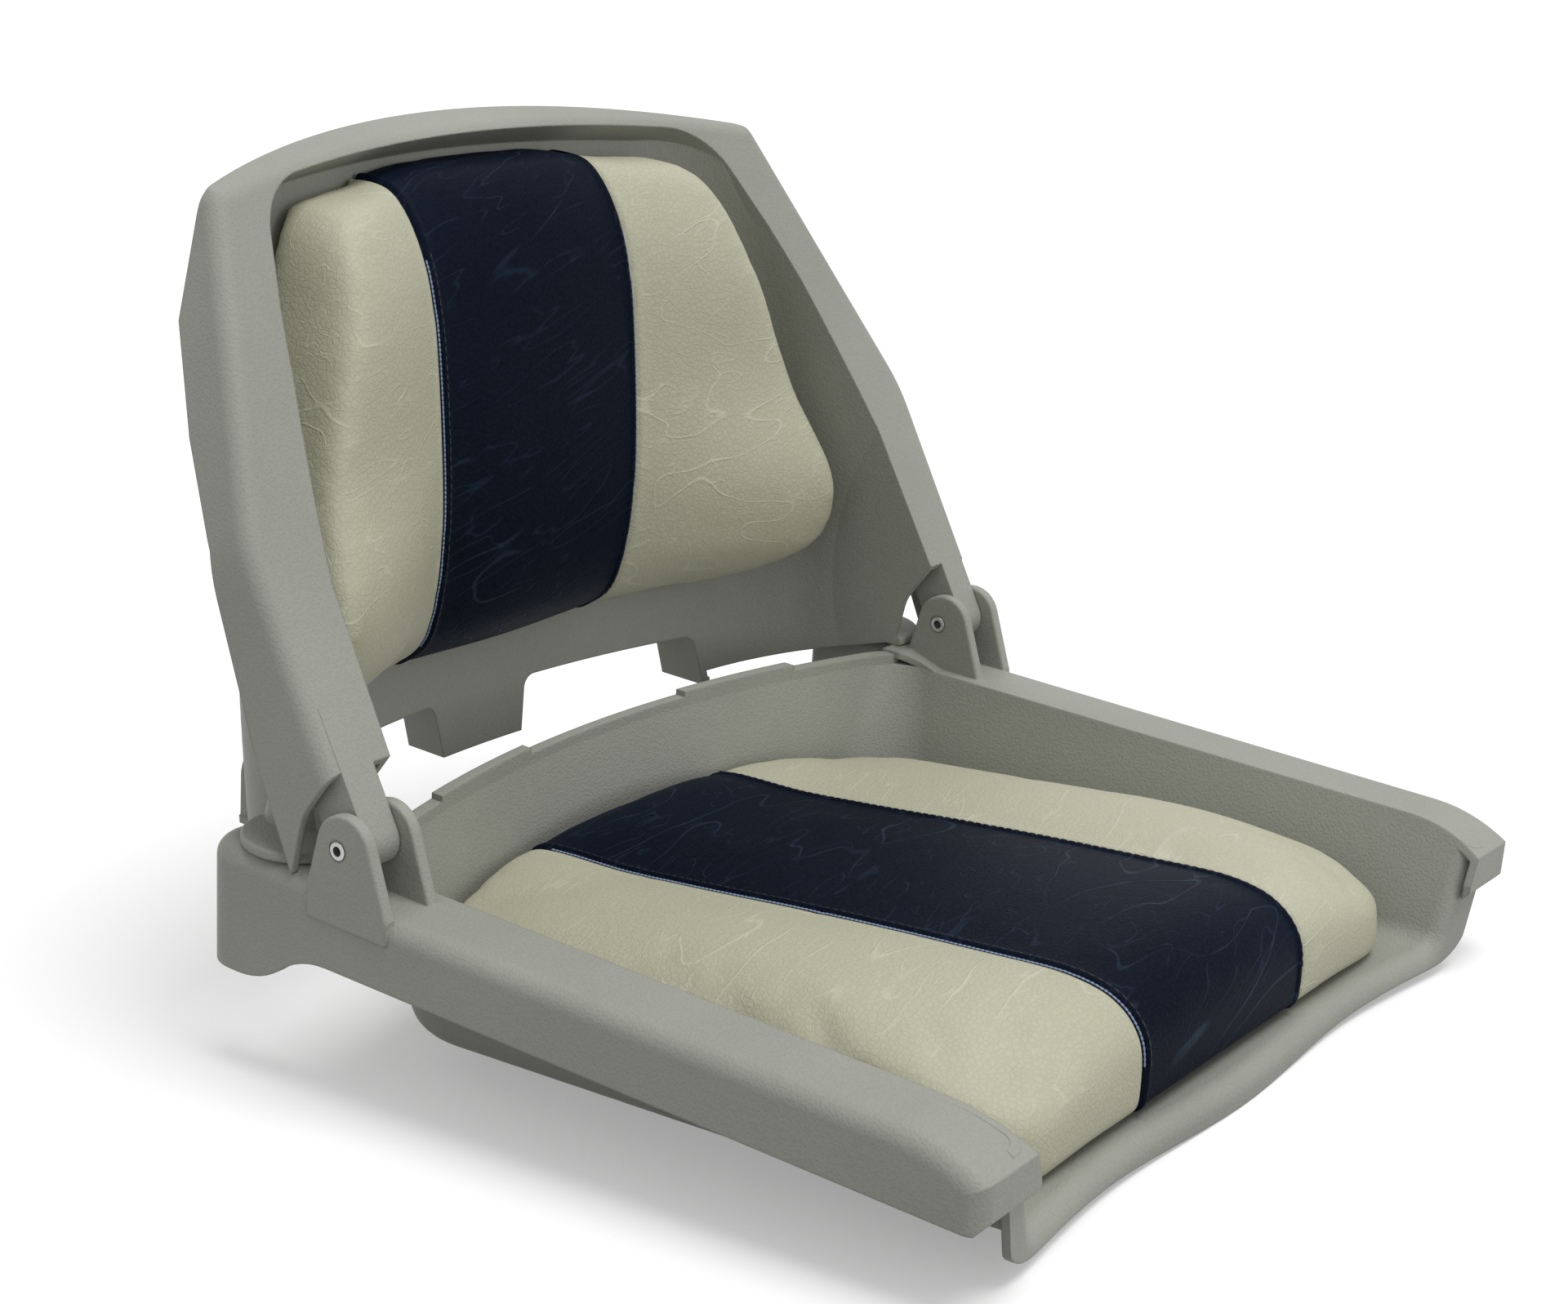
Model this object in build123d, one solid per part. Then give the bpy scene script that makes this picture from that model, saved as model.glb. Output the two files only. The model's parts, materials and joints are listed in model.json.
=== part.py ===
from build123d import *
import math
import os

os.makedirs("parts", exist_ok=True)

# A folding boat seat: a moulded pan with raised side rails, a moulded backrest that
# folds forward on two hollow pins, and two padded cushions.
# X runs across the seat, Y towards the back and Z up. Every piece is drawn in the
# pan's own frame, with Y = 0 on the hinge line and Z = 0 on the rail tops. stand()
# pitches it onto its flat underside, with the bolt pattern's centre at the origin.

# Overall sizes
overall_width = 508.0
front_reach = 342.0
rear_reach = 90.0
stand_height = 101.0
pattern_back = 106.0
wall = 4.0
overrun = 60.0
pitch_angle = 4.6

# Side rails, rear wall and rear corners of the pan
rail_width = 41.0
rail_edge = 9.0
rail_skirt = 34.0
nose_width = 498.0
nose_drop = 12.0
nose_length = 42.0
nose_over_turn = 8.0
deck_height = 7.0
deck_start = 16.0
deck_end = 28.0
deck_ramp = 22.0
rear_skirt = 54.0
rear_skirt_start = 8.0
rear_skirt_end = 64.0
rear_corner = 20.0
corner_inside = 5.0
ridge_wall = 6.0
shoulder_rise = 3.0
shoulder_start = 62.0
shoulder_end = 142.0

# Well of the pan
well_rear = 60.0
well_sag = 40.0
well_corner = 26.0
floor_width = 386.0
floor_height = 16.0
floor_rear = 57.0
floor_sag = 33.0
floor_corner = 52.0
floor_radius = 12.0

# Front lip
lip_lobe_reach = 333.0
lip_dip_reach = 325.0
lip_middle_reach = 329.0
lip_lobe_half = 186.0
lip_dip_half = 110.0
lip_end_half = 222.0
lip_end_height = 40.0
lip_end_reach = 338.0
lip_roll = 9.0
lip_hang = 10.0
lip_middle_hang = 15.4

# Ribs, bolt bosses and threaded inserts under the pan
rib_wall = 3.0
rib_field_width = 330.0
rib_field_depth = 312.0
rib_field_back = -44.0
bolt_spacing = 127.0
boss_radius = 9.0
insert_radius = 4.7
insert_hole_radius = 3.18
insert_length = 9.5
insert_play = 0.05
insert_lip = 1.0
insert_lip_radius = 6.0

# Hinge ears and pins
ear_thickness = 6.5
ear_radius = 16.5
ear_ahead = 3.0
ear_crown = 26.5
ear_front_base = 30.0
ear_rear_base = 19.0
ear_edge = 1.5
ear_slot = 21.0
pin_height = 25.8
pin_radius = 3.5
pin_bore = 2.4
pin_rim_radius = 4.3
pin_rim_height = 0.9
pin_seat_radius = 5.2
pin_seat_depth = 0.5
pin_play = 0.08
pin_gap = 0.05

# Backrest shell, measured in the plane of its front rim
crown_lean = 29.8
panel_lean = 6.8
crown_offset = 12.0
lug_play = 0.6
lug_height = 62.0
relief_radius = 24.0
relief_low = 32.0
relief_high = 3.0
back_edge = 9.0
back_foot = 20.0
back_shoulder = 138.0
back_shoulder_radius = 90.0
back_top_half = 200.0
back_top_side = 303.0
back_height = 339.0
back_top_corner = 16.0
opening_foot_half = 219.0
opening_low_half = 214.0
opening_low = 115.0
opening_bend_half = 204.0
opening_bend = 185.0
opening_bend_radius = 90.0
opening_top_half = 164.0
opening_top_side = 302.0
opening_height = 320.0
opening_corner = 46.0
skirt_rear = 31.0
skirt_bend = 51.0
skirt_shallow = 15.0
skirt_shallow_at = 145.0
skirt_deep = 22.0
skirt_deep_start = 198.0
skirt_deep_end = 252.0
skirt_top = -3.0
dish_radius = 1000.0
dish_depth = 19.0
dish_rear_radius = 640.0
dish_rear = 27.0
crest_front = 324.0
crest_rear = 37.0
crest_radius = 2400.0
crest_edge = 9.0

# Bowl of the backrest, measured upright
bowl_low = 60.0
bowl_low_front = 240.0
bowl_low_half = 207.0
bowl_middle = 165.0
bowl_middle_front = 231.0
bowl_middle_half = 195.0
bowl_high = 330.0
bowl_high_front = 190.0
bowl_high_half = 150.0
bowl_corner = 58.0
bowl_reach = 150.0
bowl_sag = 36.0
bowl_front = 90.0
hem_start = 24.0
hem_start_height = 10.0
hem_fall_share = 0.32
hem_depth = 26.0
notch_inner = 31.0
notch_outer = 165.0
notch_draft = 5.0
notch_corner = 8.0
notch_height = 0.0
hem_end = 30.0
hem_half = 170.0
hem_rise = 12.0
foot_radius = 29.0
foot_thickness = 5.0
foot_inset = 29.0
foot_back = 51.0
foot_edge = 1.5
foot_gap = 0.3
post_radius = 21.0
post_top_radius = 14.0
post_inset = 44.0
post_back = 64.0
post_height = 45.0

# Cushions
stripe_half = 75.0
cover_thickness = 1.2
pad_gap = 0.6
lining_gap = 0.15
board_thickness = 6.0
seam_shift = 0.4
stripe_crown = 4.0
side_draw = 5.0
pad_round = 11.0
seat_pad_floor_gap = 0.3
seat_pad_stations = (
    # distance along the seat, half-width, height of the seams, height of the side edges
    (-316.0, 150.0, -36.0, -41.0),
    (-309.0, 168.0, -14.0, -24.0),
    (-290.0, 182.0, -2.5, -13.0),
    (-250.0, 188.0, -2.5, -12.0),
    (-170.0, 188.0, -11.0, -20.0),
    (-90.0, 187.0, -21.5, -30.0),
    (-20.0, 184.0, -30.5, -39.0),
    (20.0, 172.0, -36.0, -45.0),
    (38.0, 146.0, -40.0, -48.0),
    (46.0, 112.0, -46.0, -52.0),
)
back_pad_stations = (
    # height, half-width, seams' and side edges' distance along the seat
    (31.0, 150.0, 143.0, 110.0),
    (38.0, 169.0, 134.0, 94.0),
    (52.0, 187.0, 120.0, 74.0),
    (72.0, 196.0, 113.5, 63.0),
    (106.0, 197.0, 109.0, 57.0),
    (160.0, 184.0, 110.5, 77.0),
    (205.0, 168.0, 115.0, 85.0),
    (240.0, 154.0, 122.5, 96.0),
    (266.0, 142.0, 136.5, 112.0),
    (281.0, 126.0, 155.0, 134.0),
)
pad_rear_reach = 40.0
back_board_half = 138.0
back_board_low = 52.0
back_board_high = 258.0

# Cushion fasteners
screw_radius = 2.5
screw_play = 0.15
screw_head_radius = 6.0
screw_head_height = 3.0
screw_seat_gap = 0.2
seat_screw_width = 210.0
seat_screw_depth = 190.0
seat_screw_middle = -63.5
back_screw_half = 60.0
back_screw_low = 75.0
back_screw_high = 225.0
nut_flange_radius = 9.0
nut_flange = 1.4
nut_barrel_radius = 4.0
nut_play = 0.1

half_width = overall_width / 2
rail_inner = half_width - rail_width
slot_outer = half_width - ear_thickness
slot_inner = slot_outer - ear_slot
ear_inner = slot_inner - ear_thickness
middle_share = 0.5
steep_share = 0.5
touching = 0.04
upwards = (Align.CENTER, Align.CENTER, Align.MIN)
downwards = (Align.CENTER, Align.CENTER, Align.MAX)


def stand(shape):
    return Pos(0, pattern_back, stand_height) * Rot(pitch_angle, 0, 0) * shape


def lie(shape):
    return Rot(-pitch_angle, 0, 0) * Pos(0, -pattern_back, -stand_height) * shape


def write(name, shape):
    export_step(stand(shape), "parts/" + name + ".step")


def write_standing(name, shape):
    export_step(shape, "parts/" + name + ".step")


def both(shape):
    return shape + mirror(shape, about=Plane.YZ)


def across(lines, half):
    """Extrudes a side outline in (Y, Z) by half to each side of the middle."""
    return extrude(Plane.YZ * make_face(lines), half, both=True)


def upright(outline, low, high):
    return Pos(0, 0, low) * extrude(outline, high - low)


def bowed(half, back, sag):
    """Rear line of the well in plan, from the left side over the middle to the right."""
    return ThreePointArc((-half, back - sag), (0, back), (half, back - sag))


# Pan: rails


def rail_section(inset, inner, top):
    """Section across a rail, flat on top with a rounded outer edge."""
    side = half_width - inset
    line = Polyline((inner, -overrun), (side, -overrun), (side, top - inset), (inner, top - inset),
                    close=True)
    face = Plane.XZ * make_face(line)
    corner = face.vertices().sort_by(lambda v: v.X + v.Z)[-1]
    return fillet(corner, rail_edge - inset)


def rail_corner(inset):
    """Rounded rear corner of the pan, which carries the backrest's stop foot."""
    inner = rail_inner + wall + ridge_wall + inset
    outer = half_width - inset
    start = deck_end - rear_corner / 2
    rear = rear_reach - inset
    height = overrun + deck_height - inset
    block = Box(outer - inner, rear - start, height, align=(Align.MIN, Align.MIN, Align.MIN))
    block = Pos(inner, start, -overrun) * block
    uprights = block.edges().filter_by(Axis.Z).group_by(Axis.Y)[-1].sort_by(Axis.X)
    block = fillet(uprights[1], rear_corner - inset)
    uprights = block.edges().filter_by(Axis.Z).group_by(Axis.Y)[-1].sort_by(Axis.X)
    block = fillet(uprights[0], corner_inside)
    top = block.faces().sort_by(Axis.Z)[-1].edges()
    rear_edges = top.filter_by(lambda e: (e @ middle_share).Y > start + touching)
    outer_edges = rear_edges.filter_by(lambda e: (e @ middle_share).X > inner + corner_inside)
    return fillet(outer_edges, rail_edge - inset)


def rail(inset):
    """Rail with its dropping nose, its ramp beside the ears and the rear corner."""
    low = rail_section(inset, rail_inner - wall, 0)
    high = rail_section(inset, rail_inner - wall, deck_height)
    nose_start = -front_reach + nose_length
    nose_radius = (nose_length ** 2 + nose_drop ** 2) / (2 * nose_drop)
    nose_turn = math.degrees(math.asin(nose_length / nose_radius)) + nose_over_turn
    nose = revolve(Pos(0, nose_start, 0) * low, Axis((0, nose_start, -nose_radius), (1, 0, 0)), nose_turn)
    plan = Rectangle(overall_width - 2 * inset, 2 * (front_reach - inset))
    nose &= upright(fillet(plan.vertices(), rail_edge - inset), -overrun * 2, overrun)
    ramp_start = deck_start - deck_ramp
    form = nose + Pos(0, ramp_start, 0) * extrude(low, ramp_start - nose_start)
    form += loft([Pos(0, ramp_start, 0) * low, Pos(0, deck_start, 0) * high])
    form += Pos(0, deck_end - inset, 0) * extrude(high, deck_end - inset - deck_start)
    form += rail_corner(inset)
    taper = math.degrees(math.atan((half_width - nose_width / 2) / (front_reach + rear_reach)))
    pivot = Pos(half_width, rear_reach, 0)
    return pivot * Rot(0, 0, -taper) * pivot.inverse() * form


def skirt_cut():
    """Everything under the skirts, which step down towards the rear corners."""
    middle = ((rear_skirt_start + rear_skirt_end) / 2, -(rail_skirt + rear_skirt) / 2)
    front = -front_reach - overrun
    rear = rear_reach + overrun
    line = Polyline((rear_skirt_start, -rail_skirt), (front, -rail_skirt), (front, -stand_height - overrun),
                    (rear, -stand_height - overrun), (rear, -rear_skirt), (rear_skirt_end, -rear_skirt))
    line += TangentArc((rear_skirt_start, -rail_skirt), middle, tangent=(1, 0))
    line += TangentArc((rear_skirt_end, -rear_skirt), middle, tangent=(-1, 0))
    return across(line, half_width + overrun)


# Pan: well


def well_plan(half, back, sag, corner, grow):
    front = -front_reach - overrun
    side = half + grow
    line = Polyline((-side, back + grow - sag), (-side, front), (side, front), (side, back + grow - sag))
    face = make_face(line + bowed(side, back + grow, sag))
    corners = face.vertices().group_by(Axis.Y)[1]
    return fillet(corners, corner + grow)


def well_form(grow, top, lift=0.0):
    """The space of the well, grown outwards for its skin or inwards for the cushion."""
    rim = well_plan(rail_inner, well_rear, well_sag, well_corner, grow)
    floor = well_plan(floor_width / 2, floor_rear, floor_sag, floor_corner, grow)
    level = floor_height + lift if lift else floor_height - grow
    radius = floor_radius if lift else floor_radius + grow
    floor = lie(Pos(0, pattern_back, level) * floor)
    form = loft([floor, rim])
    low = form.edges().filter_by(lambda e: e.center().Z < -rail_skirt and e.center().Y > -front_reach)
    form = fillet(low, radius)
    return form + upright(rim, 0, top) if top else form


def ridge():
    """Thick top of the rear wall, with a raised shoulder to each side of the middle."""
    plan = well_plan(rail_inner, well_rear, well_sag, well_corner, ridge_wall)
    band = plan & Pos(0, well_rear + ridge_wall, 0) * Rectangle(2 * rail_inner, 2 * (well_sag + ridge_wall))
    wall_top = upright(band, -rail_skirt, deck_height - shoulder_rise / 2)
    middle = (shoulder_start + shoulder_end) / 2
    shoulder = band & Pos(middle, well_rear, 0) * Rectangle(shoulder_end - shoulder_start, 2 * well_sag)
    return wall_top + both(upright(shoulder, 0, deck_height + shoulder_rise / 2))


# Pan: front lip


def lip_plan(inset):
    """Plan of everything behind the pan's front edge: two lobes, two dips, a fuller middle."""
    front = [(lip_dip_half, lip_dip_reach), (lip_lobe_half, lip_lobe_reach), (lip_end_half, lip_end_reach)]
    right = [(x, -y + inset) for x, y in front]
    left = [(-x, y) for x, y in reversed(right)]
    curve = Spline(*left, (0, -lip_middle_reach + inset), *right)
    rear = well_rear + overrun
    line = Polyline(right[-1], (lip_end_half, rear), (-lip_end_half, rear), left[0])
    return make_face(curve + line)


def lip_arch():
    """Lower outline of the lip seen from the front, drawn standing."""
    low = floor_height - lip_middle_hang
    dip = floor_height - lip_hang
    top = stand_height + overrun
    curve = Spline((-lip_lobe_half, dip), (0, low), (lip_lobe_half, dip), tangents=((1, 0), (1, 0)))
    right = Spline((lip_lobe_half, dip), (lip_end_half, lip_end_height), tangents=((1, 0), (0, 1)))
    line = Polyline((lip_end_half, lip_end_height), (lip_end_half, top), (-lip_end_half, top),
                    (-lip_end_half, lip_end_height))
    left = mirror(right, about=Plane.YZ)
    face = make_face([curve.edge(), right.edge(), *line.edges(), left.edge()])
    return lie(Pos(0, pattern_back, 0) * extrude(Plane.XZ * face, front_reach + overrun, both=True))


def lip_block(inset, inside, outside, roll):
    """Everything between two skins of the well, with its front inner edge rolled."""
    plan = upright(lip_plan(inset), -stand_height - overrun, 0)
    well = well_form(inside, 0)
    block = (well_form(outside, 0) & plan) - well
    front = block.edges().filter_by(lambda e: (e @ middle_share).Y < -lip_dip_reach + lip_roll)
    front = front.filter_by(lambda e: (e @ middle_share).Z < -lip_roll / 2)
    return fillet([e for e in front if well.distance_to(e @ middle_share) < touching], roll)


def rolled_well():
    """Skin of the well with its rolled front lip, which hangs lowest in the middle."""
    outer = lip_block(0, 0, lip_middle_hang + wall / 2, lip_roll)
    inner = lip_block(wall, wall, overrun, lip_roll - wall)
    return (outer & lip_arch()) - inner


# Pan: ears


def ear_outline(inset):
    """Side outline of an ear: a round crown running down to a wide foot."""
    foot = -rail_edge - wall / 2
    crown = Pos(-ear_ahead, ear_crown) * Circle(ear_radius - inset)
    base = Line((-ear_front_base, 0), (ear_rear_base, deck_height))
    upper = make_hull(crown.edges() + ShapeList([base.edge()]))
    lower = make_face(Polyline((-ear_front_base, 0), (-ear_front_base, foot), (ear_rear_base, foot),
                               (ear_rear_base, deck_height), close=True))
    return upper + lower


def ear_plate(inner, outer):
    plate = Pos(inner, 0, 0) * extrude(Plane.YZ * ear_outline(0), outer - inner)
    rims = plate.edges().filter_by(lambda e: e.center().Z > deck_height)
    return fillet(rims.filter_by(lambda e: abs(e.tangent_at(0).X) < steep_share), ear_edge)


def cross_pin(radius, start, end, height=pin_height):
    return Pos(start, 0, height) * Rot(0, 90, 0) * Cylinder(radius, end - start, align=upwards)


def pin_holes():
    hole = cross_pin(pin_radius + pin_play, rail_inner, half_width + overrun)
    hole += cross_pin(pin_seat_radius, half_width - pin_seat_depth, half_width + overrun)
    hole += cross_pin(pin_seat_radius, ear_inner - overrun, ear_inner + pin_seat_depth)
    return hole


# Pan: underside, drawn standing


def rib_grid():
    """Ribs under the floor, ending on the flat plane that the seat stands on."""
    height = floor_height - wall / 2
    field = Pos(0, rib_field_back, 0) * Rectangle(rib_field_width, rib_field_depth)
    inside = Rectangle(rib_field_width - 2 * rib_wall, rib_field_depth - 2 * rib_wall)
    grid = upright(field - Pos(0, rib_field_back, 0) * inside, 0, height)
    pitch = bolt_spacing / 2
    for column in range(-2, 3):
        grid += upright(Pos(column * pitch, rib_field_back) * Rectangle(rib_wall, rib_field_depth), 0, height)
    for row in range(-3, 2):
        grid += upright(Pos(0, row * pitch) * Rectangle(rib_field_width, rib_wall), 0, height)
    for spot in GridLocations(bolt_spacing, bolt_spacing, 2, 2):
        grid += spot * Cylinder(boss_radius, height, align=upwards)
    return grid


def insert_holes():
    holes = []
    for spot in GridLocations(bolt_spacing, bolt_spacing, 2, 2):
        holes.append(spot * Cylinder(insert_radius + insert_play, 2 * (insert_length + insert_play)))
        holes.append(spot * Cylinder(insert_lip_radius + insert_play, 2 * (insert_lip + insert_play)))
    return Compound(children=holes)


def above_nose():
    """Everything above the dropping noses of the rails."""
    start = -front_reach + nose_length
    radius = (nose_length ** 2 + nose_drop ** 2) / (2 * nose_drop)
    zone = Box(2 * half_width, 2 * nose_length, 2 * radius, align=(Align.CENTER, Align.MAX, Align.MIN))
    zone = Pos(0, start, -radius) * zone
    return zone - cross_pin(radius, -half_width, half_width, -radius).moved(Location((0, start, 0)))


def seat_pan():
    block = both(rail(0)) - skirt_cut()
    hollow = both(rail(wall))
    well = well_form(0, overrun)
    pan = (rolled_well() - above_nose()) + (ridge() - well)
    pan += (block - hollow) - well
    pan += both(ear_plate(ear_inner, slot_inner) + ear_plate(slot_outer, half_width))
    pan -= both(pin_holes())
    pan += lie(rib_grid())
    return pan - lie(insert_holes())


# Backrest: rim, in the plane of its front face


def crown(shape):
    """Moves a shape from the rim's plane, X across, Y up the rim and Z to the front."""
    lean = math.radians(crown_lean)
    plane = Plane(origin=(0, 0, pin_height), x_dir=(1, 0, 0), z_dir=(0, -math.cos(lean), math.sin(lean)))
    return plane * shape


def rim_face(inset):
    """Outline of the backrest seen square on to its rim."""
    side = half_width - inset
    top_half = back_top_half - inset
    top_side = back_top_side - inset
    line = Polyline((-top_half, top_side), (-side, back_shoulder), (-side, -back_foot), (side, -back_foot),
                    (side, back_shoulder), (top_half, top_side))
    top = ThreePointArc((top_half, top_side), (0, back_height - inset), (-top_half, top_side))
    face = make_face(line + top)
    levels = face.vertices().group_by(Axis.Y)
    face = fillet(levels[1], back_shoulder_radius - inset)
    return fillet(face.vertices().group_by(Axis.Y)[-1], back_top_corner - inset)


def opening_face():
    """Outline of the opening inside the rim."""
    line = Polyline((-opening_top_half, opening_top_side), (-opening_bend_half, opening_bend),
                    (-opening_low_half, opening_low), (-opening_foot_half, -overrun),
                    (opening_foot_half, -overrun), (opening_low_half, opening_low),
                    (opening_bend_half, opening_bend), (opening_top_half, opening_top_side))
    top = ThreePointArc((opening_top_half, opening_top_side), (0, opening_height),
                        (-opening_top_half, opening_top_side))
    face = make_face(line + top)
    bends = face.vertices().filter_by(lambda v: opening_low - touching < v.Y < opening_bend + touching)
    face = fillet(bends, opening_bend_radius)
    return fillet(face.vertices().group_by(Axis.Y)[-1], opening_corner)


def dish(depth, radius):
    """Cylinder running up the rim, whose nearest line lies a depth behind the rim's face."""
    drum = Rot(90, 0, 0) * Cylinder(radius, 2 * (back_height + overrun))
    return Pos(0, 0, radius - depth + crown_offset) * drum


def crest(inset):
    """Cylinder under the rim's top, which slopes back and falls towards its corners."""
    slope = math.degrees(math.atan2(crest_rear - dish_depth, back_height - crest_front))
    radius = crest_radius - inset
    drum = Rot(90 - slope, 0, 0) * Pos(0, -crest_radius, 0) * Cylinder(radius, 2 * (back_height + overrun))
    return Pos(0, back_height, crown_offset - crest_rear) * drum


def rim_skirt():
    """Side outline of the rim: everything in front of its rear edge."""
    front = crown_offset + overrun
    line = Polyline((-overrun, -skirt_rear - wall), (0, -skirt_rear - wall), (skirt_bend, -skirt_rear),
                    (skirt_shallow_at, -skirt_shallow), (skirt_deep_start, -skirt_deep),
                    (skirt_deep_end, -skirt_deep), (back_top_side, -skirt_top),
                    (back_height + overrun, -skirt_top), (back_height + overrun, front),
                    (-overrun, front), close=True)
    sides = extrude(Plane.YZ * make_face(line), half_width + overrun, both=True)
    top = Box(2 * half_width, back_height, 2 * overrun, align=(Align.CENTER, Align.MIN, Align.CENTER))
    return sides + (Pos(0, skirt_deep_end, 0) * top & dish(dish_rear + crown_offset, dish_rear_radius))


def rim_form(inset, rear):
    block = Pos(0, 0, rear) * extrude(rim_face(inset), crown_offset - inset - rear)
    front = block.faces().sort_by(Axis.Z)[-1].edges().filter_by(lambda e: (e @ middle_share).Y > 0)
    block = fillet(front, back_edge - inset)
    block = (block & crest(inset)) - dish(dish_depth + inset, dish_radius + inset)
    middle = crown_offset - dish_depth - inset
    brow = block.edges().filter_by(lambda e: abs((e @ middle_share).Z - middle) < crest_edge - inset)
    brow = brow.filter_by(lambda e: e.length > back_top_half and (e @ middle_share).Y > opening_top_side)
    return fillet(brow, crest_edge - inset)


# Backrest: bowl, measured upright


def bowl_plan(height, front_half, back_half, grow):
    """Level section of the bowl: splayed sides, rounded corners and a bowed panel."""
    back = bowl_reach + height * math.tan(math.radians(panel_lean)) + grow
    sag = bowl_sag * (back_half / bowl_low_half) ** 2
    front = -bowl_front
    line = Polyline((-back_half - grow, back - sag), (-front_half - grow, front), (front_half + grow, front),
                    (back_half + grow, back - sag))
    face = make_face(line + bowed(back_half + grow, back, sag))
    return Pos(0, 0, height) * fillet(face.vertices().group_by(Axis.Y)[-1], bowl_corner + grow)


def bowl_form(grow):
    low = bowl_plan(-bowl_low, bowl_low_front, bowl_low_half, grow)
    middle = bowl_plan(bowl_middle, bowl_middle_front, bowl_middle_half, grow)
    high = bowl_plan(bowl_high, bowl_high_front, bowl_high_half, grow)
    return loft([low, middle, high])


def opening_form(grow):
    face = offset(opening_face(), grow, kind=Kind.INTERSECTION) if grow else opening_face()
    return crown(Pos(0, 0, -back_height) * extrude(face, back_height + crown_offset + overrun))


def lower_cut():
    """Everything under the backrest's lower edge, which falls towards the panel."""
    start = hem_start_height
    far = bowl_reach + 2 * overrun
    line = Polyline((-overrun, start), (hem_start, start), (far, start - hem_fall_share * (far - hem_start)),
                    (far, -stand_height - overrun), (-overrun, -stand_height - overrun), close=True)
    return across(line, half_width + overrun)


def notch_face(inset):
    """One hand-hold notch seen from the front, with its mouth open downwards."""
    low = -overrun - stand_height / 2
    inner = notch_inner - inset
    outer = notch_outer + inset
    top = notch_height + inset
    spread = notch_draft * (-hem_end - low) / (notch_height + hem_end)
    face = make_face(Polyline((inner - spread, low), (inner + notch_draft, top), (outer - notch_draft, top),
                              (outer + spread, low), close=True))
    return fillet(face.vertices().group_by(Axis.Y)[-1], notch_corner + inset)


def hem():
    """Flange that runs back from the panel's lower edge and around the notches."""
    plate = Rectangle(2 * hem_half, notch_height + hem_rise + hem_end, align=(Align.CENTER, Align.MIN))
    outer = Pos(0, -hem_end) * plate
    upper = Pos(0, wall - hem_end) * plate
    for side in (1, -1):
        outer -= Rot(0, 90 - side * 90, 0) * notch_face(0)
        upper -= Rot(0, 90 - side * 90, 0) * notch_face(wall)
    band = Plane.XZ * (outer - upper)
    return extrude(band, -bowl_reach - hem_depth - overrun)


def relief():
    """Room around the ears, cut right across the lower end of the rim."""
    round_part = Circle(relief_radius)
    reach = crown_offset + wall
    front = Line((relief_low, reach), (relief_low, crown_offset))
    rear = Line((-relief_high, -skirt_rear - wall), (-relief_high, -skirt_rear))
    room = make_hull(round_part.edges() + ShapeList([front.edge(), rear.edge()]))
    below = Pos(-relief_high, 0) * Rectangle(2 * overrun, 4 * overrun, align=(Align.MAX, Align.CENTER))
    return crown(extrude(Plane.YZ * (room + below), half_width + overrun, both=True))


def lug():
    """Solid lug at the end of the rim, between the ears."""
    inner = slot_inner + lug_play
    outer = slot_outer - lug_play
    bar = Rectangle(lug_height, 2 * crown_offset, align=(Align.MIN, Align.CENTER))
    side = Plane.YZ * (bar + Circle(crown_offset))
    return crown(Pos(inner, 0, 0) * extrude(side, outer - inner))


def stop_foot():
    """Round foot that rests on the rear corner of the pan, and the post that carries it."""
    low = deck_height + foot_gap
    disc = Cylinder(foot_radius, foot_thickness, align=upwards)
    disc = fillet(disc.edges().filter_by(GeomType.CIRCLE), foot_edge)
    post = Cone(post_radius, post_top_radius, post_height - low, align=upwards)
    post = fillet(post.edges().sort_by(Axis.Z)[-1], post_top_radius / 2)
    disc = Pos(half_width - foot_inset, foot_back, low) * disc
    return disc + Pos(half_width - post_inset, post_back, low) * post


def backrest_shell():
    cavity = bowl_form(0) & opening_form(0)
    skin = bowl_form(wall) & opening_form(wall) & crown(rim_form(0, -back_height))
    rim = rim_form(0, -skirt_rear - 2 * wall) - rim_form(wall, -2 * overrun)
    rim = crown(rim & rim_skirt()) - relief() + both(lug())
    flange = hem() & bowl_form(hem_depth)
    shell = rim + (skin - relief() - lower_cut()) + both(stop_foot())
    notches = extrude(Plane.XZ * both(notch_face(0)), -bowl_reach - overrun)
    shell = shell - cavity - notches
    shell += flange - cavity
    return shell - both(cross_pin(pin_radius + pin_play, slot_inner, slot_outer))


# Cushions


def pad_section(half, seam, side, floor, inset):
    """Section across a cushion: flat floor, drawn-in sides, three crowned stripes."""
    width = half - inset
    low = floor - inset
    stripe = stripe_half
    edge = width - side_draw
    middle = (side - inset + low) / 2
    side_crown = ((edge + stripe) / 2, (side + seam) / 2 + stripe_crown - inset)
    lines = [
        Line((-edge, low), (edge, low)),
        ThreePointArc((edge, low), (width, middle), (edge, side - inset)),
        ThreePointArc((edge, side - inset), side_crown, (stripe, seam - inset)),
        ThreePointArc((stripe, seam - inset), (0, seam + stripe_crown - inset), (-stripe, seam - inset)),
        ThreePointArc((-stripe, seam - inset), (-side_crown[0], side_crown[1]), (-edge, side - inset)),
        ThreePointArc((-edge, side - inset), (-width, middle), (-edge, low)),
    ]
    face = make_face(lines)
    corners = face.vertices().filter_by(lambda v: abs(v.Y - side + inset) < touching and abs(v.X) > stripe)
    return fillet(corners, pad_round - inset)


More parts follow.
